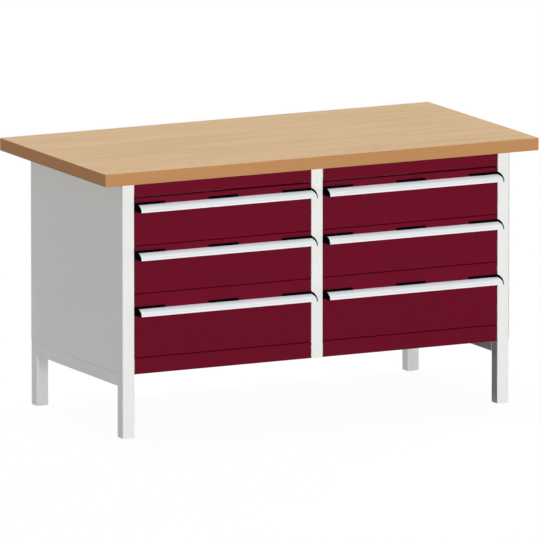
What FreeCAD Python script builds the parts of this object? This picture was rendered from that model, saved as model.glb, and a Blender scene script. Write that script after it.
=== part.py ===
import FreeCAD, Part
import math
import os

# Workbench: a beech worktop on a square tube frame, with two bays of three drawers.
# Millimetres. X runs to the right, Y to the back and Z up; the origin is on the floor,
# in the middle of the worktop's outline. The drawers open towards -Y.

# Overall size
bench_wide = 1500.0
bench_deep = 750.0
bench_high = 840.0
top_thick = 40.0
top_edge_round = 2.0
side_overhang = 79.2
front_overhang = 45.0
rear_overhang = 55.0

# Frame of square tube
tube_size = 40.0
tube_wall = 2.0
tube_corner = 3.0
flat_rail_thick = 20.0
flat_rail_wall = 1.5
flat_rail_corner = 1.0
head_rail_high = 40.0
foot_rail_high = 40.0
skin_thick = 0.8
skin_rear_inset = 2.5
skin_foot_gap = 0.5

# Plugs in the feet of the legs
plug_foot_thick = 2.0
plug_foot_inset = 0.5
plug_stem_high = 15.0
plug_play = 0.2

# Bay floors, partition and runner carriers
floor_thick = 1.5
floor_lap = 20.0
floor_lip_high = 30.0
partition_wall = 1.5
carrier_thick = 1.5
carrier_end_inset = 1.0

# Rows of the bays, from the cabinet's underside upwards
kick_high = 50.0
kick_drop = 1.0
bottom_row_high = 200.0
middle_row_high = 150.0
top_row_high = 150.0
header_high = 50.0

# Fronts and fascias, folded from sheet
front_side_gap = 1.0
seam = 1.7
header_gap = 4.0
front_deep = 18.0
front_sheet = 1.2
front_lip = 24.0
front_edge_round = 2.0

# Drawer trays
tray_sheet = 1.0
tray_deep = 560.0
tray_lift = 12.0
tray_headroom = 18.0
tray_hem_high = 8.0

# Telescopic runners
runner_room = 12.5
runner_high = 45.0
runner_long = 550.0
runner_sheet = 1.2
runner_play = 0.3
runner_lift = 10.0
runner_web_inset = 0.3

# Handle strips, with the clips and end caps that hold them
strip_reach = 40.0
strip_bow = 15.0
strip_lip_high = 3.0
strip_wall = 2.0
strip_leaf_high = 13.0
clip_thick = 3.0
clip_bead = 2.5
clip_rise = 7.5
clip_long = 101.0
cap_thick = 2.5
cap_side_gap = 0.5
cap_past_lip = 1.5
cap_over_bow = 7.0
cap_below_lip = 0.5
low_row_handle_drop = 14.5
tall_row_handle_drop = 39.5

# Worktop screws
screw_radius = 2.5
screw_head_radius = 5.5
screw_head_high = 3.0
screw_bite = 25.0
screw_hole_play = 0.25
pilot_play = 0.05
side_screw_reach = 180.0
rear_screw_reach = 300.0

# Lock in the centre post
lock_drop = 50.0
lock_flange_radius = 10.0
lock_flange_thick = 3.0
lock_sleeve_radius = 8.0
lock_sleeve_deep = 18.0
lock_nut_across = 22.0
lock_nut_thick = 4.0
lock_hole_play = 0.2
barrel_radius = 5.5
barrel_play = 0.05
barrel_proud = 0.5
keyway_wide = 1.4
keyway_high = 7.0
keyway_deep = 6.0
crank_radius = 11.0
crank_thick = 2.5
crank_throw = 8.0
crank_pin_radius = 2.5
crank_rest_degrees = -45.0
crank_gap = 0.5

# Lock bar, its guides and the lugs on the trays
bar_half_wide = 14.0
bar_thick = 3.0
bar_above_slot = 12.0
bar_below_tab = 45.0
bar_play = 0.3
slot_play = 0.45
slot_end_play = 1.0
tab_reach = 10.0
tab_high = 10.0
tab_row_lift = 88.0
tab_window_play = 1.0
guide_thick = 3.0
guide_below_tab = 30.0
lug_reach = 8.5
lug_thick = 4.0
lug_high = 14.0
lug_above_tab = 4.0
lug_play = 2.0

# One overrun serves every cut
overrun = 5.0

# Edges count as parallel from this cosine upwards
parallel_share = 0.999

# Places worked out from the sizes
frame_top = bench_high - top_thick
skin_half_wide = bench_wide / 2 - side_overhang
leg_outer = skin_half_wide - skin_thick
leg_inner = leg_outer - tube_size
frame_front = -bench_deep / 2 + front_overhang
frame_rear = bench_deep / 2 - rear_overhang
front_leg_back = frame_front + tube_size
rear_leg_front = frame_rear - tube_size
cross_rail_bottom = frame_top - tube_size
all_rows_high = bottom_row_high + middle_row_high + top_row_high
cabinet_floor_high = frame_top - header_high - all_rows_high - kick_high
kick_bottom = cabinet_floor_high - kick_drop
skin_foot = cabinet_floor_high + skin_foot_gap
side_rail_bottom = cabinet_floor_high - tube_size
post_half = tube_size / 2
flat_rail_front = front_leg_back - flat_rail_thick
runner_front = flat_rail_front
runner_rear = runner_front + runner_long
front_back = frame_front + front_deep
tray_rear = front_back + tray_deep
bay_outer = leg_inner - carrier_thick
tray_outer = bay_outer - runner_room
tray_inner = post_half + runner_room
front_outer = leg_inner - front_side_gap
front_inner = post_half + front_side_gap
cap_outer = leg_inner - cap_side_gap
cap_inner = post_half + cap_side_gap
bottom_row_base = cabinet_floor_high + kick_high
middle_row_base = bottom_row_base + bottom_row_high
top_row_base = middle_row_base + middle_row_high
top_row_top = top_row_base + top_row_high
header_bottom = top_row_top - seam / 2 + header_gap
lock_high = frame_top - lock_drop
crank_front = frame_front + lock_sleeve_deep + crank_gap
crank_back = crank_front + crank_thick
bar_front = crank_back + crank_gap
bar_back = bar_front + bar_thick
crank_rest = math.radians(crank_rest_degrees)
crank_lift = -2 * crank_throw * math.sin(crank_rest)

# Each row of drawers: its base, its height and how far the clips lie below its top
rows = {
    "bottom": (bottom_row_base, bottom_row_high, tall_row_handle_drop),
    "middle": (middle_row_base, middle_row_high, low_row_handle_drop),
    "top": (top_row_base, top_row_high, low_row_handle_drop),
}

along_x = FreeCAD.Vector(1, 0, 0)
along_y = FreeCAD.Vector(0, 1, 0)
along_z = FreeCAD.Vector(0, 0, 1)


# Shared shapes

def block(x0, x1, y0, y1, z0, z1):
    """A box between two corners."""
    return Part.makeBox(x1 - x0, y1 - y0, z1 - z0, FreeCAD.Vector(x0, y0, z0))


def edges_along(shape, direction):
    """The straight edges of a shape that run along a direction."""
    found = []
    for edge in shape.Edges:
        run = edge.Vertexes[-1].Point - edge.Vertexes[0].Point
        if run.Length > 0 and abs(run.dot(direction)) > parallel_share * run.Length:
            found.append(edge)
    return found


def rounded_block(corners, direction, radius):
    """A box whose four edges along a direction are rounded."""
    solid = block(*corners)
    return solid.makeFillet(radius, edges_along(solid, direction))


def tube(corners, direction, wall, corner):
    """A rectangular tube along a direction, open at both ends, with rounded corners."""
    x0, x1, y0, y1, z0, z1 = corners
    wall_x = -overrun if direction is along_x else wall
    wall_y = -overrun if direction is along_y else wall
    wall_z = -overrun if direction is along_z else wall
    bore = (x0 + wall_x, x1 - wall_x, y0 + wall_y, y1 - wall_y, z0 + wall_z, z1 - wall_z)
    outside = rounded_block(corners, direction, corner)
    return outside.cut(rounded_block(bore, direction, corner - wall / 2))


def extruded(points, x0, x1):
    """A prism along X on an outline given as Y and Z."""
    corners = [FreeCAD.Vector(x0, y, z) for y, z in points]
    face = Part.Face(Part.makePolygon(corners + corners[:1]))
    return face.extrude(FreeCAD.Vector(x1 - x0, 0, 0))


def cylinder_along_y(x, z, radius, y0, y1):
    return Part.makeCylinder(radius, y1 - y0, FreeCAD.Vector(x, y0, z), along_y)


def mirrored(shape):
    """The same piece on the other side of the bench."""
    return shape.mirror(FreeCAD.Vector(0, 0, 0), along_x)


def both_sides(shape):
    return [shape, mirrored(shape)]


# Worktop

def worktop():
    """The board, with its edges eased and pilot holes for the screws."""
    corners = (-bench_wide / 2, bench_wide / 2, -bench_deep / 2, bench_deep / 2, frame_top, bench_high)
    board = block(*corners)
    board = board.makeFillet(top_edge_round, board.Edges)
    for x, y in screw_places():
        hole_bottom = FreeCAD.Vector(x, y, frame_top - overrun)
        board = board.cut(Part.makeCylinder(screw_radius + pilot_play, screw_bite + 2 * overrun, hole_bottom))
    return board


def screw_places():
    """Where the worktop screws stand: two in each side top rail, two in the rear one."""
    rail_middle = leg_outer - tube_size / 2
    rear_middle = frame_rear - tube_size / 2
    places = [(side * rail_middle, end * side_screw_reach) for side in (-1, 1) for end in (-1, 1)]
    return places + [(side * rear_screw_reach, rear_middle) for side in (-1, 1)]


def worktop_screws():
    screws = []
    for x, y in screw_places():
        head_bottom = FreeCAD.Vector(x, y, cross_rail_bottom - screw_head_high)
        head = Part.makeCylinder(screw_head_radius, screw_head_high, head_bottom)
        shank = Part.makeCylinder(screw_radius, screw_head_high + tube_size + screw_bite, head_bottom)
        screws.append(head.fuse(shank).removeSplitter())
    return screws


# Frame

def leg(y0, y1):
    """A left leg; the right ones are its mirror images."""
    return tube((-leg_outer, -leg_inner, y0, y1, plug_foot_thick, frame_top), along_z, tube_wall, tube_corner)


def foot_plug(y0):
    """A plug under a left leg: a foot as wide as the tube and a stem inside it."""
    inset = plug_foot_inset
    y1 = y0 + tube_size
    foot = (-leg_outer + inset, -leg_inner - inset, y0 + inset, y1 - inset, 0, plug_foot_thick)
    sink = tube_wall + plug_play
    stem_top = plug_foot_thick + plug_stem_high
    stem = (-leg_outer + sink, -leg_inner - sink, y0 + sink, y1 - sink, 0, stem_top)
    return rounded_block(foot, along_z, tube_corner).fuse(rounded_block(stem, along_z, tube_corner))


def foot_plugs():
    return both_sides(foot_plug(frame_front)) + both_sides(foot_plug(rear_leg_front))


def side_rail(z0):
    """A square tube from the left front leg to the left rear leg."""
    corners = (-leg_outer, -leg_inner, front_leg_back, rear_leg_front, z0, z0 + tube_size)
    return tube(corners, along_y, tube_wall, tube_corner)


def rear_rail(z0):
    """A square tube from one rear leg to the other."""
    corners = (-leg_inner, leg_inner, rear_leg_front, frame_rear, z0, z0 + tube_size)
    return tube(corners, along_x, tube_wall, tube_corner)


def front_rail(z0, z1):
    """A flat tube behind the fascia, from the left front leg to the centre post."""
    corners = (-leg_inner, -post_half, flat_rail_front, front_leg_back, z0, z1)
    return tube(corners, along_x, flat_rail_wall, flat_rail_corner)


def lower_cross_rails():
    foot_rail = front_rail(cabinet_floor_high, cabinet_floor_high + foot_rail_high)
    return [rear_rail(side_rail_bottom)] + both_sides(foot_rail)


def drilled(rail):
    """A top rail with clearance holes for the worktop screws."""
    for x, y in screw_places():
        hole_bottom = FreeCAD.Vector(x, y, cross_rail_bottom - overrun)
        hole = Part.makeCylinder(screw_radius + screw_hole_play, tube_size + 2 * overrun, hole_bottom)
        rail = rail.cut(hole)
    return rail


def top_rails():
    head_rail = front_rail(frame_top - head_rail_high, frame_top)
    sides = both_sides(side_rail(cross_rail_bottom))
    screwed = [drilled(rail) for rail in [rear_rail(cross_rail_bottom)] + sides]
    return screwed + both_sides(head_rail)


def centre_post():
    """The post between the bays, with the lock's hole, tab windows and guides for the lock bar."""
    corners = (-post_half, post_half, frame_front, front_leg_back, kick_bottom, frame_top)
    post = tube(corners, along_z, tube_wall, tube_corner)
    hole = lock_sleeve_radius + lock_hole_play
    post = post.cut(cylinder_along_y(0, lock_high, hole, frame_front - overrun, frame_front + overrun))
    for base, _, _ in rows.values():
        tab = base + tab_row_lift
        window_top = tab + tab_high + crank_lift + tab_window_play
        y0 = bar_front - tab_window_play
        y1 = bar_back + tab_window_play
        window = (-post_half - overrun, post_half + overrun, y0, y1, tab - tab_window_play, window_top)
        post = post.cut(block(*window))
        post = post.fuse(bar_guide(tab - guide_below_tab))
    return post.fuse([bar_stop(), post_web(kick_bottom)]).removeSplitter()


def post_web(z0):
    """A plate across the inside of the post."""
    x = post_half - tube_wall
    y0 = frame_front + tube_wall
    y1 = front_leg_back - tube_wall
    return block(-x, x, y0, y1, z0, z0 + guide_thick)


def bar_guide(z0):
    """A plate with the opening that the lock bar slides in."""
    x = bar_half_wide + bar_play
    y0 = bar_front - bar_play
    y1 = bar_back + bar_play
    return post_web(z0).cut(block(-x, x, y0, y1, z0 - overrun, z0 + overrun))


def bar_stop():
    """The plate that the lock bar rests on."""
    return post_web(bar_bottom() - bar_play - guide_thick)


def centre_partition():
    """A folded box behind the centre post, open towards it and at the top."""
    corners = (-post_half, post_half, front_leg_back, frame_rear, cabinet_floor_high, cross_rail_bottom)
    x = post_half - partition_wall
    y1 = frame_rear - partition_wall
    z0 = cabinet_floor_high + partition_wall
    z1 = cross_rail_bottom + overrun
    return block(*corners).cut(block(-x, x, front_leg_back - overrun, y1, z0, z1))


# Skins, bay floors and runner carriers

def side_skin():
    """The left skin, over the legs and down to the bottom rail."""
    y1 = frame_rear - skin_rear_inset
    return block(-skin_half_wide, -leg_outer, frame_front, y1, skin_foot, frame_top)


def back_skin():
    x = leg_outer - skin_rear_inset
    return block(-x, x, frame_rear, frame_rear + skin_thick, skin_foot, frame_top)


def bay_floor():
    """The left bay's floor, laid on the bottom rails, with a lip up behind the foot rail."""
    z0 = cabinet_floor_high
    outer = -leg_inner - floor_lap
    rear = rear_leg_front + floor_lap
    sheet = block(outer, -post_half, front_leg_back, rear, z0, z0 + floor_thick)
    corner = block(outer - overrun, -leg_inner, rear_leg_front, rear + overrun, z0, z0 + floor_thick)
    lip_back = front_leg_back + floor_thick
    lip = block(-leg_inner, -post_half, front_leg_back, lip_back, z0, z0 + floor_lip_high)
    return sheet.cut(corner).fuse(lip).removeSplitter()


def runner_base(row_base):
    """The underside of a row's runners."""
    return row_base + tray_lift + runner_lift


def runner_carriers():
    """Straps on the inner faces of the legs, one beside each outer runner."""
    straps = []
    for base, _, _ in rows.values():
        z0 = runner_base(base)
        y1 = frame_rear - carrier_end_inset
        straps += both_sides(block(-leg_inner, -bay_outer, runner_front, y1, z0, z0 + runner_high))
    return straps


# Fascias and drawer fronts

def fascia(z0, z1):
    """A channel folded from sheet, open towards the rail behind it."""
    x0 = -front_outer
    x1 = -front_inner
    shell = block(x0, x1, frame_front, flat_rail_front, z0, z1)
    front_edges = [edge for edge in edges_along(shell, along_x) if edge.BoundBox.YMax < flat_rail_front]
    shell = shell.makeFillet(front_edge_round, front_edges)
    y0 = frame_front + front_sheet
    inside = (x0 - overrun, x1 + overrun, y0, flat_rail_front + overrun, z0 + front_sheet, z1 - front_sheet)
    return shell.cut(block(*inside))


def front_height(base, high):
    """The lower and upper edge of the front in a row."""
    return base + seam / 2, base + high - seam / 2


def drawer_front(base, high):
    """A folded pan: a face, four sides and a lip all round at the back."""
    z0, z1 = front_height(base, high)
    x0 = -front_outer
    x1 = -front_inner
    sheet = front_sheet
    pan = block(x0, x1, frame_front, front_back, z0, z1)
    face_edges = [edge for edge in pan.Edges if edge.BoundBox.YMax < front_back]
    pan = pan.makeFillet(front_edge_round, face_edges)
    hollow = (x0 + sheet, x1 - sheet, frame_front + sheet, front_back - sheet, z0 + sheet, z1 - sheet)
    lip = front_lip
    window = (x0 + lip, x1 - lip, front_back - overrun, front_back + overrun, z0 + lip, z1 - lip)
    return pan.cut(block(*hollow)).cut(block(*window))


# Trays

def tray(base, high):
    """A left tray: an open box with hemmed rims."""
    z0 = base + tray_lift
    z1 = base + high - tray_headroom
    x0 = -tray_outer
    x1 = -tray_inner
    sheet = tray_sheet
    box = block(x0, x1, front_back, tray_rear, z0, z1)
    inside = (x0 + sheet, x1 - sheet, front_back + sheet, tray_rear - sheet, z0 + sheet, z1 + overrun)
    box = box.cut(block(*inside))
    hem = 2 * sheet
    hem_base = z1 - tray_hem_high
    rim = block(x0, x1, front_back, tray_rear, hem_base, z1)
    rim_inside = (x0 + hem, x1 - hem, front_back + hem, tray_rear - hem, hem_base - overrun, z1 + overrun)
    rim = rim.cut(block(*rim_inside))
    return box.fuse(rim).removeSplitter()


def lock_lug(base):
    """The lug welded to a left tray's side, which the lock bar's tab holds."""
    x0 = -tray_inner
    y0 = bar_back + lug_play
    z0 = base + tab_row_lift + tab_high + lug_above_tab
    return block(x0, x0 + lug_reach, y0, y0 + lug_thick, z0, z0 + lug_high)


# Runners

def channel(wall_x, web_inset, flange_end, half_high, z_middle):
    """A channel member along Y; its web faces the wall at wall_x and its flanges point to -X."""
    x1 = wall_x - web_inset
    x0 = wall_x - flange_end
    z0 = z_middle - half_high
    z1 = z_middle + half_high
    solid = block(x0, x1, runner_front, runner_rear, z0, z1)
    inside_z0 = z0 + runner_sheet
    inside_z1 = z1 - runner_sheet
    y0 = runner_front - overrun
    y1 = runner_rear + overrun
    return solid.cut(block(x0 - overrun, x1 - runner_sheet, y0, y1, inside_z0, inside_z1))


def turned_about(shape, x):
    """The same member facing the other way, mirrored in a plane across X."""
    return shape.mirror(FreeCAD.Vector(x, 0, 0), along_x)


def fixed_member(base):
    """The fixed members of one left drawer: at the post and at the carrier."""
    middle = runner_base(base) + runner_high / 2
    at_post = channel(-post_half, 0, runner_room - runner_web_inset, runner_high / 2, middle)
    return [at_post, across_bay(at_post)]


def middle_member(base):
    middle = runner_base(base) + runner_high / 2
    half_high = runner_high / 2 - runner_sheet - runner_play
    inset = runner_sheet + runner_play
    at_post = channel(-post_half, inset, runner_room - runner_web_inset, half_high, middle)
    return [at_post, across_bay(at_post)]


def inner_member(base):
    """The members on the tray: channels that open towards the wall, inside the middle ones."""
    middle = runner_base(base) + runner_high / 2
    half_high = runner_high / 2 - 2 * (runner_sheet + runner_play)
    inset = 2 * (runner_sheet + runner_play)
    facing_bay = channel(-post_half, inset, runner_room, half_high, middle)
    at_post = turned_about(facing_bay, -post_half - (inset + runner_room) / 2)
    return [at_post, across_bay(at_post)]


def across_bay(shape):
    """The same member at the other side of the left bay."""
    return turned_about(shape, -(post_half + bay_outer) / 2)


def fixed_runners():
    members = []
    for base, _, _ in rows.values():
        for member in fixed_member(base):
            members += both_sides(member)
    return members


# Handles

def strip_top(base, high, drop):
    """The upper edge of a handle strip."""
    return base + high - drop - clip_rise


def bow_edge(x, z_top, reach, rise, y_end):
    """A quarter ellipse above the foot of the strip's bow, from its tip back to a given Y."""
    centre = FreeCAD.Vector(x, frame_front - clip_thick, z_top - strip_bow)
    tip = centre - along_y * reach
    crest = centre + along_z * rise
    stop = math.acos((centre.y - y_end) / reach)
    return Part.ArcOfEllipse(Part.Ellipse(tip, crest, centre), 0, stop).toShape()


def bow_end(bow):
    """The end of a bow away from the lip, as Y and Z."""
    point = max((vertex.Point for vertex in bow.Vertexes), key=lambda place: place.y)
    return point.y, point.z


def bow_prism(x, length, bows, runs):
    """A prism along X on an outline of bow edges and runs of straight lines."""
    edges = list(bows)
    for points in runs:
        for start, end in zip(points, points[1:]):
            edges.append(Part.makeLine(FreeCAD.Vector(x, *start), FreeCAD.Vector(x, *end)))
    outline = Part.Wire(Part.__sortEdges__(edges))
    return Part.Face(outline).extrude(along_x * length)


def handle_strip(z_top):
    """The aluminium strip: a leaf behind, a bow forwards and a lip down at its edge."""
    x0 = -cap_outer + cap_thick
    length = cap_outer - cap_inner - 2 * cap_thick
    leaf_back = frame_front - clip_thick
    leaf_front = leaf_back - strip_wall
    leaf_base = z_top - strip_leaf_high
    tip = leaf_back - strip_reach
    tip_back = tip + strip_wall
    bow_base = z_top - strip_bow
    lip_base = bow_base - strip_lip_high
    outer = bow_edge(x0, z_top, strip_reach, strip_bow, leaf_back)
    inner = bow_edge(x0, z_top, strip_reach - strip_wall, strip_bow - strip_wall, leaf_front)
    lip = [(tip, bow_base), (tip, lip_base), (tip_back, lip_base), (tip_back, bow_base)]
    leaf = [bow_end(inner), (leaf_front, leaf_base), (leaf_back, leaf_base), (leaf_back, z_top)]
    return bow_prism(x0, length, [outer, inner], [lip, leaf])


def clip(x0, x1, z_top):
    """A black clip: a plate behind the strip's leaf and a bead over its upper edge."""
    back = frame_front
    leaf_back = back - clip_thick
    bead_front = leaf_back - clip_bead
    low = z_top - strip_leaf_high
    high = z_top + clip_rise
    plate = [(back, high), (back, low), (leaf_back, low), (leaf_back, z_top)]
    bead = [(bead_front, z_top), (bead_front, high)]
    return extruded(plate + bead, x0, x1)


def end_cap(z_top):
    """The left end cap: a plate a little larger than the strip's outline, and a clip as its wing."""
    x0 = -cap_outer
    bead_front = frame_front - clip_thick - clip_bead
    reach = strip_reach + cap_past_lip
    tip = frame_front - clip_thick - reach
    bow_base = z_top - strip_bow
    base = bow_base - strip_lip_high - cap_below_lip
    high = z_top + clip_rise
    bow = bow_edge(x0, z_top, reach, strip_bow + cap_over_bow, bead_front)
    head = [bow_end(bow), (bead_front, high), (frame_front, high)]
    foot = [(frame_front, base), (tip, base), (tip, bow_base)]
    plate = bow_prism(x0, cap_thick, [bow], [head + foot])
    return plate.fuse(clip(x0, clip_long - front_outer, z_top)).removeSplitter()


def handle_clips(z_top):
    """Two end caps and the clip in the middle."""
    middle = -(front_outer + front_inner) / 2
    left_cap = end_cap(z_top)
    right_cap = turned_about(left_cap, middle)
    return [left_cap, right_cap, clip(middle - clip_long / 2, middle + clip_long / 2, z_top)]


# Lock

def lock_housing():
    """The flange and sleeve in front, and the nut that holds them in the post."""
    back = frame_front + lock_sleeve_deep
    flange_front = frame_front - lock_flange_thick
    body = cylinder_along_y(0, lock_high, lock_flange_radius, flange_front, frame_front)
    body = body.fuse(cylinder_along_y(0, lock_high, lock_sleeve_radius, frame_front, back))
    bore = barrel_radius + barrel_play
    body = body.cut(cylinder_along_y(0, lock_high, bore, flange_front - overrun, back + overrun))
    nut_front = frame_front + tube_wall
    corner_radius = lock_nut_across / math.sqrt(3)
    corners = []
    for corner in range(6):
        turn = 2 * math.pi * corner / 6
        x = corner_radius * math.cos(turn)
        corners.append(FreeCAD.Vector(x, nut_front, lock_high + corner_radius * math.sin(turn)))
    nut = Part.Face(Part.makePolygon(corners + corners[:1])).extrude(along_y * lock_nut_thick)
    sleeve_hole = lock_sleeve_radius + barrel_play
    nut = nut.cut(cylinder_along_y(0, lock_high, sleeve_hole, nut_front - overrun, nut_front + 2 * overrun))
    return [body.removeSplitter(), nut]


def crank_pin_place():
    """Where the crank's pin stands at rest, as X and Z."""
    return crank_throw * math.cos(crank_rest), lock_high + crank_throw * math.sin(crank_rest)


def lock_barrel():
    """The turning barrel with its keyway, the crank behind the sleeve and the crank's pin."""
    front = frame_front - lock_flange_thick - barrel_proud
    barrel = cylinder_along_y(0, lock_high, barrel_radius, front, crank_front)
    x = keyway_wide / 2
    z = keyway_high / 2
    keyway = block(-x, x, front - overrun, front + keyway_deep, lock_high - z, lock_high + z)
    crank = cylinder_along_y(0, lock_high, crank_radius, crank_front, crank_back)
    pin_x, pin_z = crank_pin_place()
    pin = cylinder_along_y(pin_x, pin_z, crank_pin_radius, crank_back, bar_back)
    return barrel.cut(keyway).fuse([crank, pin]).removeSplitter()


def bar_bottom():
    return bottom_row_base + tab_row_lift - bar_below_tab


def lock_bar():
    """The flat bar in the post, with a cross slot for the crank's pin and a tab pair per row."""
    _, pin_z = crank_pin_place()
    bar = block(-bar_half_wide, bar_half_wide, bar_front, bar_back, bar_bottom(), pin_z + bar_above_slot)
    tab = post_half + tab_reach
    for base, _, _ in rows.values():
        z0 = base + tab_row_lift
        bar = bar.fuse(block(-tab, tab, bar_front, bar_back, z0, z0 + tab_high))
    half = crank_pin_radius + slot_play
    slot_near = crank_throw * math.cos(crank_rest) - crank_pin_radius - slot_end_play
    slot_far = crank_throw + crank_pin_radius + slot_end_play
    y0 = bar_front - overrun
    y1 = bar_back + overrun
    slot = block(slot_near, slot_far, y0, y1, pin_z - half, pin_z + half)
    return bar.cut(slot).removeSplitter()


# Every node of the bench

def frame_nodes():
    return {
        "worktop": [worktop()],
        "worktop_screws": worktop_screws(),
        "front_left_leg": [leg(frame_front, front_leg_back)],
        "front_right_leg": [mirrored(leg(frame_front, front_leg_back))],
        "rear_left_leg": [leg(rear_leg_front, frame_rear)],
        "rear_right_leg": [mirrored(leg(rear_leg_front, frame_rear))],
        "foot_plugs": foot_plugs(),
        "left_bottom_rail": [side_rail(side_rail_bottom)],
        "right_bottom_rail": [mirrored(side_rail(side_rail_bottom))],
        "lower_cross_rails": lower_cross_rails(),
        "top_rails": top_rails(),
        "centre_post": [centre_post()],
        "centre_partition": [centre_partition()],
        "left_side_skin": [side_skin()],
        "right_side_skin": [mirrored(side_skin())],
        "back_skin": [back_skin()],
        "bay_floors": both_sides(bay_floor()),
        "runner_carriers": runner_carriers(),
        "fixed_runners": fixed_runners(),
        "header_fascias": both_sides(fascia(header_bottom, frame_top)),
        "kick_fascias": both_sides(fascia(kick_bottom, bottom_row_base - seam / 2)),
        "lock_housing": lock_housing(),
        "lock_barrel": [lock_barrel()],
        "lock_bar": [lock_bar()],
    }


def drawer_nodes(base, high, drop):
    """The pieces of one left drawer, by the end of their node's name."""
    z_top = strip_top(base, high, drop)
    return {
        "tray": [tray(base, high), lock_lug(base)],
        "front": [drawer_front(base, high)],
        "handle": [handle_strip(z_top)],
        "handle_clips": handle_clips(z_top),
        "inner_runners": inner_member(base),
        "middle_runners": middle_member(base),
    }


def all_nodes():
    nodes = frame_nodes()
    for row, (base, high, drop) in rows.items():
        for ending, shapes in drawer_nodes(base, high, drop).items():
            nodes["left_" + row + "_" + ending] = shapes
            nodes["right_" + row + "_" + ending] = [mirrored(shape) for shape in shapes]
    return nodes


def main():
    os.makedirs("parts", exist_ok=True)
    for name, shapes in all_nodes().items():
        shape = shapes[0] if len(shapes) == 1 else Part.makeCompound(shapes)
        shape.exportStep("parts/" + name + ".step")


main()
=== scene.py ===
import math

import bpy
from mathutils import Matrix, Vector

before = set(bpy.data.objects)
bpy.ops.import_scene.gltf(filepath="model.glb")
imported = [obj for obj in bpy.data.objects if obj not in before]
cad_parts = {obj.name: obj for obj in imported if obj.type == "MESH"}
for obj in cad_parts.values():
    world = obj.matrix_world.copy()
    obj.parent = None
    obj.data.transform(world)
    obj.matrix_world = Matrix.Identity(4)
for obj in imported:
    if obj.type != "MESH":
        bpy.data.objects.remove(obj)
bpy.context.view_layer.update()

# Looks of the workbench: finishes, floor, light and camera.
# Metres, in the part's own frame: X to the right, Y to the back, Z up, drawers open towards -Y.

# Camera: a long lens far away, to the front left and a little above
view_target = Vector((0, 0, 0.42))
view_azimuth = math.radians(-26.677)
view_elevation = math.radians(10.278)
view_distance = 44.389
view_lens = 949.66
view_sensor = 36.0
view_shift = (0.001285, 0.000913)
view_near = 1.0
view_far = 120.0

# Light levels: what a lamp alone adds to a white surface that faces it. The front fill and the lamp
# over the handle strips cast no shadow, so the overhang leaves the strips lit.
front_level = 0.50
front_fill_level = 0.355
left_level = 0.325
top_level = 0.72
strip_level = 0.52
rear_level = 0.36
fill_level = 0.175
studio_colour = (1.0, 1.0, 1.0, 1.0)

# Where the lamps stand, as turns about Z with 0 at the front and heights over the floor, and how
# soft they are
front_height = math.radians(6)
left_height = math.radians(8)
left_turn = math.radians(-105)
top_height = math.radians(80)
top_turn = math.radians(180)
strip_height = math.radians(90)
rear_height = math.radians(20)
rear_turn = math.radians(135)
front_soft_angle = math.radians(9)
left_soft_angle = math.radians(6)
rear_soft_angle = math.radians(20)
top_soft_angle = math.radians(20)

# Floor: half its side, its colour as it is seen and in the light that it throws back, and how much
# of its shading is seen
floor_half = 15.0
floor_seen_colour = (1.0, 1.0, 1.0, 1.0)
floor_bounce_colour = (0.15, 0.15, 0.15, 1.0)
floor_rough = 1.0
floor_shadow_share = 0.035

# Colours of the finishes
grey_colour = (0.80, 0.80, 0.785, 1.0)
red_colour = (0.1320, 0.0028, 0.0156, 1.0)
# Trays: dark grey, as painted shade for the insides seen through the gaps between the drawer fronts
tray_painted_shade_colour = (0.13, 0.13, 0.13, 1.0)
# Beech top: paler and greyer than its edges, partly the wood's own tone and partly a painted sheen
beech_top_dark_with_painted_sheen_colour = (0.490, 0.339, 0.196, 1.0)
beech_top_light_with_painted_sheen_colour = (0.654, 0.475, 0.303, 1.0)
beech_edge_colour = (0.510, 0.257, 0.107, 1.0)
beech_end_colour = (0.505, 0.262, 0.132, 1.0)
# Aluminium: lighter and bluer facing up, darker facing forward, brightest on its lip: painted light,
# shade and highlight
aluminium_painted_light_colour = (0.735, 0.786, 0.820, 1.0)
aluminium_painted_shade_colour = (0.622, 0.642, 0.648, 1.0)
lip_painted_highlight_colour = (0.825, 0.810, 0.820, 1.0)
black_colour = (0.0022, 0.0021, 0.0022, 1.0)
foot_colour = (0.80, 0.80, 0.785, 1.0)
zinc_colour = (0.56, 0.57, 0.58, 1.0)
nickel_colour = (0.88, 0.87, 0.85, 1.0)
line_colour = (0.0, 0.0, 0.0, 1.0)

# Sizes of the patterns' cells along X, Y and Z
paint_cloud = (0.33, 0.33, 0.33)
paint_fleck = (0.0014, 0.0014, 0.0014)
paint_peel = (0.0012, 0.0012, 0.0012)
beech_band = (0.90, 0.070, 0.070)
beech_streak = (0.36, 0.012, 0.012)
beech_ray = (0.0050, 0.0009, 0.0009)
beech_pore = (0.0105, 0.00067, 0.00067)
drawn_line = (0.11, 0.0007, 0.0007)
plate_cloud = (0.022, 0.022, 0.022)
plate_grit = (0.0008, 0.0008, 0.0008)
plastic_cloud = (0.033, 0.033, 0.033)
plastic_grit = (0.0006, 0.0006, 0.0006)

# The darkest and the lightest share of a colour within a finish
paint_shade_shares = (0.985, 1.015)
beech_edge_shade_shares = (0.95, 1.05)
beech_end_shade_shares = (0.96, 1.04)
plate_shade_shares = (0.92, 1.06)
plastic_shade_shares = (0.92, 1.08)

# What share each layer of a pattern has in it
paint_cloud_share = 0.6
paint_fleck_share = 0.4
beech_band_share = 0.25
beech_streak_share = 0.45
beech_pore_share = 0.30
beech_ray_share = 0.35
drawn_line_share = 0.06

# Beech shows a ray where its noise passes from the first value to the second
beech_ray_step = (0.60, 0.68)

# Octaves of the noise, how much the finer ones count, and how far they are warped
grit_octaves = 1.0
line_octaves = 2.0
cloud_octaves = 3.0
even_roughness = 0.5
streak_roughness = 0.55
line_roughness = 0.6
streak_warp = 0.25

# Roughness of each finish, at its smoothest and at its roughest
paint_rough = (0.42, 0.52)
beech_rough = (0.46, 0.58)
drawn_rough = (0.40, 0.50)
zinc_rough = (0.32, 0.44)
nickel_rough = (0.44, 0.56)
plastic_rough = (0.40, 0.52)

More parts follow.
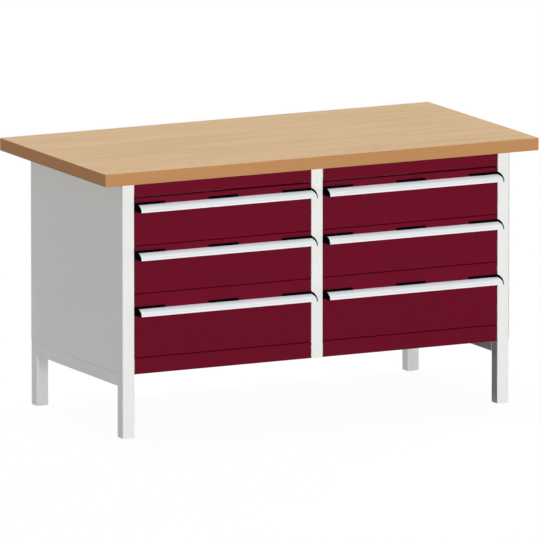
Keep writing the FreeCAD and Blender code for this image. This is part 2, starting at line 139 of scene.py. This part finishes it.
# Specular level and metallic share of each finish
matt_sheen = (0.0, 0.0)
paint_sheen = (0.2, 0.0)
red_paint_sheen = (0.04, 0.0)
aluminium_sheen = (0.2, 0.06)
zinc_sheen = (0.5, 1.0)
nickel_sheen = (0.2, 0.04)
foot_sheen = (0.2, 0.0)

# A surface faces along an axis where its normal has at least this share of it
board_face_share = 0.7
# The lip takes its painted highlight where its normal has at least this share of Y
lip_painted_highlight_face_share = 0.97

# Shares of Y in the normal over which aluminium passes from painted light on top to painted shade in
# front
aluminium_painted_shade_turn_shares = (0.48, 0.88)

# Depths of the fine relief
peel_depth = 0.00004
pore_depth = 0.00005
line_depth = 0.00001
plate_depth = 0.00001
plastic_depth = 0.00003

# Noise lies for the most part between these values
noise_low = 0.30
noise_high = 0.70

# Sockets of the mix node for colours
mix_factor = 0
mix_first = 6
mix_second = 7
mix_result = 2


# Node helpers

class Nodes:
    """A node tree, and short ways to add to it."""

    def __init__(self, tree):
        self.tree = tree
        self.tree.nodes.clear()

    def add(self, kind, **settings):
        node = self.tree.nodes.new(kind)
        for name, value in settings.items():
            setattr(node, name, value)
        return node

    def feed(self, source, target):
        """Join an output to an input, or give the input a plain value."""
        if isinstance(source, bpy.types.NodeSocket):
            self.tree.links.new(source, target)
        else:
            target.default_value = source

    def combine(self, operation, first, second):
        node = self.add("ShaderNodeMath", operation=operation)
        self.feed(first, node.inputs[0])
        self.feed(second, node.inputs[1])
        return node.outputs[0]

    def spread(self, value, old_ends, new_ends):
        """The value's stretch between its old ends laid over the stretch between the new ones."""
        node = self.add("ShaderNodeMapRange")
        self.feed(value, node.inputs["Value"])
        sockets = ("From Min", "From Max", "To Min", "To Max")
        for socket, end in zip(sockets, (*old_ends, *new_ends)):
            node.inputs[socket].default_value = end
        return node.outputs["Result"]

    def blend(self, factor, first, second):
        """A colour between two, each a colour or the output of another node."""
        node = self.add("ShaderNodeMix", data_type="RGBA")
        self.feed(factor, node.inputs[mix_factor])
        self.feed(first, node.inputs[mix_first])
        self.feed(second, node.inputs[mix_second])
        return node.outputs[mix_result]

    def shown(self):
        """One where the camera or a reflection shows the place, and zero in the light from it."""
        path = self.add("ShaderNodeLightPath")
        either = self.combine("MAXIMUM", path.outputs["Is Camera Ray"], path.outputs["Is Glossy Ray"])
        return self.combine("MAXIMUM", either, path.outputs["Is Transmission Ray"])

    def mix_shaders(self, factor, first, second):
        node = self.add("ShaderNodeMixShader")
        self.feed(factor, node.inputs["Fac"])
        self.feed(first, node.inputs[1])
        self.feed(second, node.inputs[2])
        return node.outputs["Shader"]


class Finish(Nodes):
    """A material with a principled shader."""

    def __init__(self, name):
        self.material = bpy.data.materials.new(name)
        self.material.use_nodes = True
        super().__init__(self.material.node_tree)
        self.output = self.add("ShaderNodeOutputMaterial")
        self.shader = self.add("ShaderNodeBsdfPrincipled")
        self.feed(self.shader.outputs["BSDF"], self.output.inputs["Surface"])
        self.place = self.add("ShaderNodeTexCoord")

    def colour(self, source):
        self.feed(source, self.shader.inputs["Base Color"])

    def shaded(self, factor, colour, shares):
        """A colour between its darkest and its lightest share."""
        darkest, lightest = (shade(colour, share) for share in shares)
        return self.blend(factor, darkest, lightest)

    def gloss(self, sheen):
        specular, metallic = sheen
        self.shader.inputs["Specular IOR Level"].default_value = specular
        self.shader.inputs["Metallic"].default_value = metallic

    def noise(self, cell, octaves=line_octaves, roughness=even_roughness, warp=0.0):
        """A noise value in the part's own place, with cells of the given size."""
        mapping = self.add("ShaderNodeMapping")
        mapping.inputs["Scale"].default_value = [1 / size for size in cell]
        self.feed(self.place.outputs["Object"], mapping.inputs["Vector"])
        node = self.add("ShaderNodeTexNoise")
        self.feed(mapping.outputs["Vector"], node.inputs["Vector"])
        node.inputs["Scale"].default_value = 1.0
        node.inputs["Detail"].default_value = octaves
        node.inputs["Roughness"].default_value = roughness
        node.inputs["Distortion"].default_value = warp
        return node.outputs["Fac"]

    def layer(self, noise, share=1.0):
        """The noise's usual values spread from zero to a share."""
        return self.spread(noise, (noise_low, noise_high), (0.0, share))

    def rough(self, noise, ends):
        roughness = self.spread(noise, (noise_low, noise_high), ends)
        self.feed(roughness, self.shader.inputs["Roughness"])

    def bump(self, height, depth):
        node = self.add("ShaderNodeBump")
        node.inputs["Distance"].default_value = depth
        self.feed(height, node.inputs["Height"])
        self.feed(node.outputs["Normal"], self.shader.inputs["Normal"])

    def facing(self, axis):
        """The share of an axis in the surface's normal, either way."""
        split = self.add("ShaderNodeSeparateXYZ")
        self.feed(self.place.outputs["Normal"], split.inputs["Vector"])
        return self.combine("ABSOLUTE", split.outputs[axis], 0.0)

    def faces(self, axis, least):
        """One where the surface faces along an axis, either way, by at least a share."""
        return self.combine("GREATER_THAN", self.facing(axis), least)


def shade(colour, share):
    """The colour made lighter or darker by a share."""
    return tuple(channel * share for channel in colour[:3]) + (1.0,)


# Finishes

def powder_coat(name, colour, sheen):
    """Baked powder paint on sheet and tube, with its fine orange peel."""
    finish = Finish(name)
    cloud = finish.layer(finish.noise(paint_cloud, octaves=cloud_octaves), paint_cloud_share)
    fleck = finish.layer(finish.noise(paint_fleck), paint_fleck_share)
    tone = finish.combine("ADD", cloud, fleck)
    finish.colour(finish.shaded(tone, colour, paint_shade_shares))
    peel = finish.noise(paint_peel, octaves=grit_octaves)
    finish.rough(peel, paint_rough)
    finish.gloss(sheen)
    finish.bump(peel, peel_depth)
    return finish.material


def beech_grain(finish, pore):
    """Bands, streaks and pores along X, less the short dark rays."""
    band = finish.layer(finish.noise(beech_band), beech_band_share)
    streaks = finish.noise(beech_streak, cloud_octaves, streak_roughness, streak_warp)
    streak = finish.layer(streaks, beech_streak_share)
    lengthwise = finish.combine("ADD", band, streak)
    grain = finish.combine("ADD", lengthwise, finish.layer(pore, beech_pore_share))
    rays = finish.noise(beech_ray, octaves=grit_octaves)
    ray = finish.spread(rays, beech_ray_step, (0.0, beech_ray_share))
    return finish.combine("SUBTRACT", grain, ray)


def beech():
    """Beech board: faint streaks and short rays along X, darker edges and ends, and a pale top that is
    partly a painted sheen.
    """
    finish = Finish("beech")
    pore = finish.noise(beech_pore, roughness=line_roughness)
    grain = beech_grain(finish, pore)
    # The top's grain tones hold a painted sheen as well as the wood's own paleness
    top = finish.blend(grain, beech_top_dark_with_painted_sheen_colour, beech_top_light_with_painted_sheen_colour)
    edge = finish.shaded(grain, beech_edge_colour, beech_edge_shade_shares)
    end = finish.shaded(grain, beech_end_colour, beech_end_shade_shares)
    sides = finish.blend(finish.faces("X", board_face_share), edge, end)
    finish.colour(finish.blend(finish.faces("Z", board_face_share), sides, top))
    finish.rough(pore, beech_rough)
    finish.gloss(matt_sheen)
    finish.bump(pore, pore_depth)
    return finish.material


def drawn_aluminium():
    """Anodised aluminium with fine drawing lines along X; painted light on top, painted shade in front,
    painted highlight on the lip.
    """
    finish = Finish("aluminium")
    line = finish.noise(drawn_line, roughness=line_roughness)
    # Painted light and shade by the normal's facing, then a painted highlight on the lip
    turn = finish.spread(finish.facing("Y"), aluminium_painted_shade_turn_shares, (0.0, 1.0))
    painted_bow_light_and_shade = finish.blend(turn, aluminium_painted_light_colour, aluminium_painted_shade_colour)
    painted_metal_light = finish.blend(finish.faces("Y", lip_painted_highlight_face_share), painted_bow_light_and_shade, lip_painted_highlight_colour)
    finish.colour(finish.blend(finish.layer(line, drawn_line_share), painted_metal_light, line_colour))
    finish.rough(line, drawn_rough)
    finish.gloss(aluminium_sheen)
    finish.bump(line, line_depth)
    return finish.material


def plated_metal(name, colour, roughness, sheen):
    """Plated steel, with a soft uneven sheen."""
    finish = Finish(name)
    cloud = finish.noise(plate_cloud, octaves=cloud_octaves)
    finish.colour(finish.shaded(finish.layer(cloud), colour, plate_shade_shares))
    finish.rough(cloud, roughness)
    finish.gloss(sheen)
    finish.bump(finish.noise(plate_grit, octaves=grit_octaves), plate_depth)
    return finish.material


def moulded_plastic(name, colour, sheen):
    """Injection moulded plastic with a fine even texture."""
    finish = Finish(name)
    cloud = finish.noise(plastic_cloud)
    grit = finish.noise(plastic_grit, octaves=grit_octaves)
    finish.colour(finish.shaded(finish.layer(cloud), colour, plastic_shade_shares))
    finish.rough(grit, plastic_rough)
    finish.gloss(sheen)
    finish.bump(grit, plastic_depth)
    return finish.material


finishes = {
    "beech": beech(),
    "grey_paint": powder_coat("grey_paint", grey_colour, paint_sheen),
    "red_paint": powder_coat("red_paint", red_colour, red_paint_sheen),
    "tray_paint": powder_coat("tray_paint", tray_painted_shade_colour, paint_sheen),
    "aluminium": drawn_aluminium(),
    "black_plastic": moulded_plastic("black_plastic", black_colour, matt_sheen),
    "grey_plastic": moulded_plastic("grey_plastic", foot_colour, foot_sheen),
    "zinc_steel": plated_metal("zinc_steel", zinc_colour, zinc_rough, zinc_sheen),
    "lock_nickel": plated_metal("lock_nickel", nickel_colour, nickel_rough, nickel_sheen),
}

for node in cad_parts.values():
    for held in node.material_slots:
        held.material = finishes[held.material.name.split(".")[0]]


# Floor

def stage_floor():
    """A floor that is seen near white, with the bench's shadow kept faint."""
    finish = Finish("floor")
    shown = finish.shown()
    finish.colour(finish.blend(shown, floor_bounce_colour, floor_seen_colour))
    finish.shader.inputs["Roughness"].default_value = floor_rough
    finish.gloss(matt_sheen)
    glow = finish.add("ShaderNodeEmission").outputs["Emission"]
    glow_share = finish.combine("MULTIPLY", shown, 1.0 - floor_shadow_share)
    mixed = finish.mix_shaders(glow_share, finish.shader.outputs["BSDF"], glow)
    finish.feed(mixed, finish.output.inputs["Surface"])
    half = floor_half
    corners = [(-half, -half, 0), (half, -half, 0), (half, half, 0), (-half, half, 0)]
    mesh = bpy.data.meshes.new("floor")
    mesh.from_pydata(corners, [], [(0, 1, 2, 3)])
    mesh.materials.append(finish.material)
    floor = bpy.data.objects.new("floor", mesh)
    bpy.context.scene.collection.objects.link(floor)
    return floor


floor = stage_floor()


# Light

def from_side(turn, height):
    """The direction out to a place at a turn about Z, 0 being the front, and a height over the floor."""
    level = math.cos(height)
    return Vector((math.sin(turn) * level, -math.cos(turn) * level, math.sin(height)))


def sun(name, turn, height, level, angle, shadow=True, lit=None):
    """A sun that shines from a side, on all objects or only on a group of them."""
    lamp = bpy.data.lights.new(name, "SUN")
    lamp.energy = level * math.pi
    lamp.angle = angle
    lamp.use_shadow = shadow
    holder = bpy.data.objects.new(name, lamp)
    holder.rotation_mode = "QUATERNION"
    holder.rotation_quaternion = from_side(turn, height).to_track_quat("Z", "Y")
    if lit:
        holder.light_linking.receiver_collection = lit
    bpy.context.scene.collection.objects.link(holder)


def lit_group(name, members):
    """A group of objects that a lamp can be kept to."""
    group = bpy.data.collections.new(name)
    for member in members:
        group.objects.link(member)
    return group


def white_world():
    """White to the camera and in reflections, and a weak even fill on the surfaces."""
    world = bpy.data.worlds.new("studio")
    world.use_nodes = True
    nodes = Nodes(world.node_tree)
    white = nodes.add("ShaderNodeBackground")
    fill = nodes.add("ShaderNodeBackground")
    for ground in (white, fill):
        ground.inputs["Color"].default_value = studio_colour
    fill.inputs["Strength"].default_value = fill_level
    mixed = nodes.mix_shaders(nodes.shown(), fill.outputs["Background"], white.outputs["Background"])
    nodes.feed(mixed, nodes.add("ShaderNodeOutputWorld").inputs["Surface"])
    bpy.context.scene.world = world


def light_all():
    """Suns from the front, the left, the back and above, and one kept to the handle strips."""
    strips = [node for name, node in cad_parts.items() if name.endswith("_handle")]
    others = [node for name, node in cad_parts.items() if not name.endswith("_handle")]
    lit_strips = lit_group("strips", strips)
    lit_others = lit_group("others", others + [floor])
    sun("front_sun", 0, front_height, front_level, front_soft_angle)
    sun("front_fill", 0, front_height, front_fill_level, front_soft_angle, shadow=False)
    sun("left_sun", left_turn, left_height, left_level, left_soft_angle)
    sun("rear_sun", rear_turn, rear_height, rear_level, rear_soft_angle)
    sun("top_sun", top_turn, top_height, top_level, top_soft_angle, lit=lit_others)
    sun("strip_sun", 0, strip_height, strip_level, top_soft_angle, shadow=False, lit=lit_strips)
    white_world()


light_all()


# Camera

def place_camera():
    """The camera at the photograph's viewing angle."""
    data = bpy.data.cameras.new("camera")
    data.sensor_width = view_sensor
    data.lens = view_lens
    data.shift_x, data.shift_y = view_shift
    data.clip_start = view_near
    data.clip_end = view_far
    camera = bpy.data.objects.new("camera", data)
    back = from_side(view_azimuth, view_elevation)
    camera.location = view_target + back * view_distance
    camera.rotation_mode = "QUATERNION"
    camera.rotation_quaternion = back.to_track_quat("Z", "Y")
    bpy.context.scene.collection.objects.link(camera)
    bpy.context.scene.camera = camera


place_camera()
bpy.context.scene.view_settings.view_transform = "Standard"
